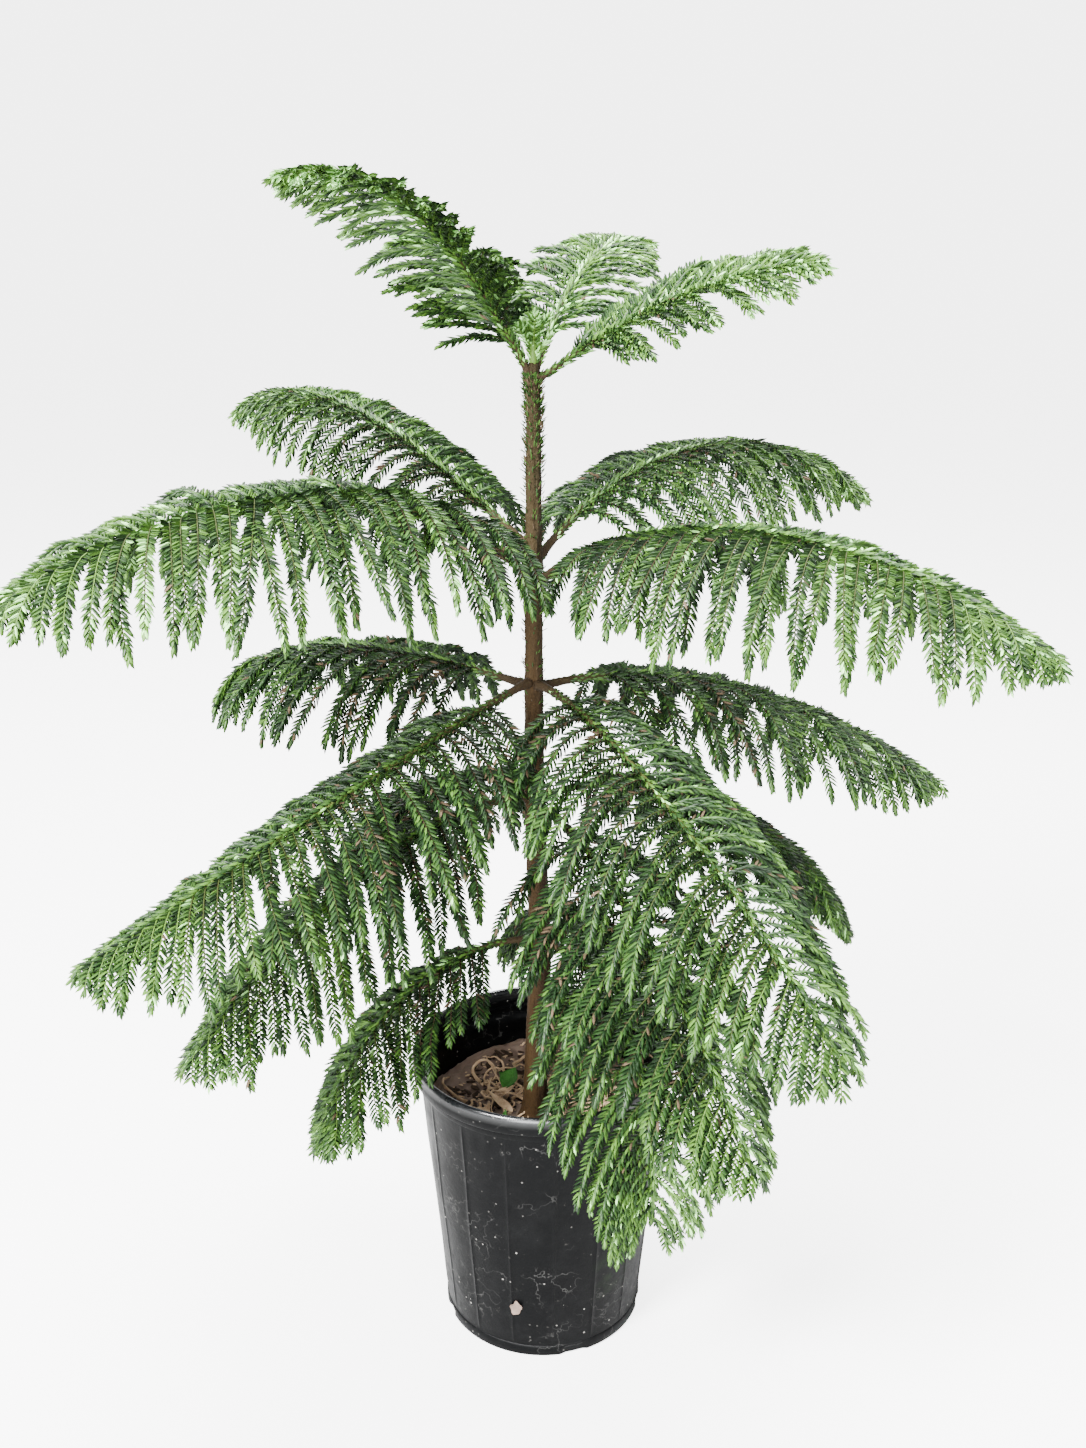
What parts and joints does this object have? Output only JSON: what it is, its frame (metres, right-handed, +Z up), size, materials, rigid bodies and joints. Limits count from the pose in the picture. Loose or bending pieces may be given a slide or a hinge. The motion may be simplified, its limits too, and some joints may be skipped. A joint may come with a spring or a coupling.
{
  "type": "norfolk island pine in a nursery pot",
  "caption": "Young potted conifer: straight trunk with whorls of arching boughs and drooping needle branchlets, in a tapered black plastic pot of potting mix.",
  "frame": {"origin": "centre of the pot's flat underside", "axes": "+Z up along the pot's axis, +Y away from the side the plant is mostly seen from, +X to that viewer's right"},
  "size_m": [0.8499, 0.6382, 1.1164],
  "materials": {
    "pot": "satin",
    "soil": "matte",
    "bark": "matte",
    "limb": "matte",
    "needles_young": "satin",
    "needles": "satin"
  },
  "bodies": {
    "root": {"nursery_pot": "pot", "potting_mix": "soil", "trunk": "bark", "leader": "needles_young", "tier1_front_left_limb": "limb", "tier1_front_left_foliage": "needles_young", "tier1_right_limb": "limb", "tier1_right_foliage": "needles_young", "tier1_back_right_limb": "limb", "tier1_back_right_foliage": "needles_young", "tier1_back_left_limb": "limb", "tier1_back_left_foliage": "needles_young", "tier2_front_left_limb": "limb", "tier2_front_left_foliage": "needles", "tier2_back_left_limb": "limb", "tier2_back_left_foliage": "needles", "tier2_front_right_limb": "limb", "tier2_front_right_foliage": "needles", "tier2_back_right_limb": "limb", "tier2_back_right_foliage": "needles", "tier3_back_left_limb": "limb", "tier3_back_left_foliage": "needles", "tier3_front_left_limb": "limb", "tier3_front_left_foliage": "needles", "tier3_back_right_limb": "limb", "tier3_back_right_foliage": "needles", "tier3_front_right_limb": "limb", "tier3_front_right_foliage": "needles", "tier4_front_left_limb": "limb", "tier4_front_left_foliage": "needles", "tier4_back_right_limb": "limb", "tier4_back_right_foliage": "needles", "tier4_front_right_limb": "limb", "tier4_front_right_foliage": "needles", "tier4_back_left_limb": "limb", "tier4_back_left_foliage": "needles", "tier5_left_limb": "limb", "tier5_left_foliage": "needles", "tier5_front_limb": "limb", "tier5_front_foliage": "needles", "tier5_right_limb": "limb", "tier5_right_foliage": "needles", "tier5_back_limb": "limb", "tier5_back_foliage": "needles"}
  },
  "joints": []
}
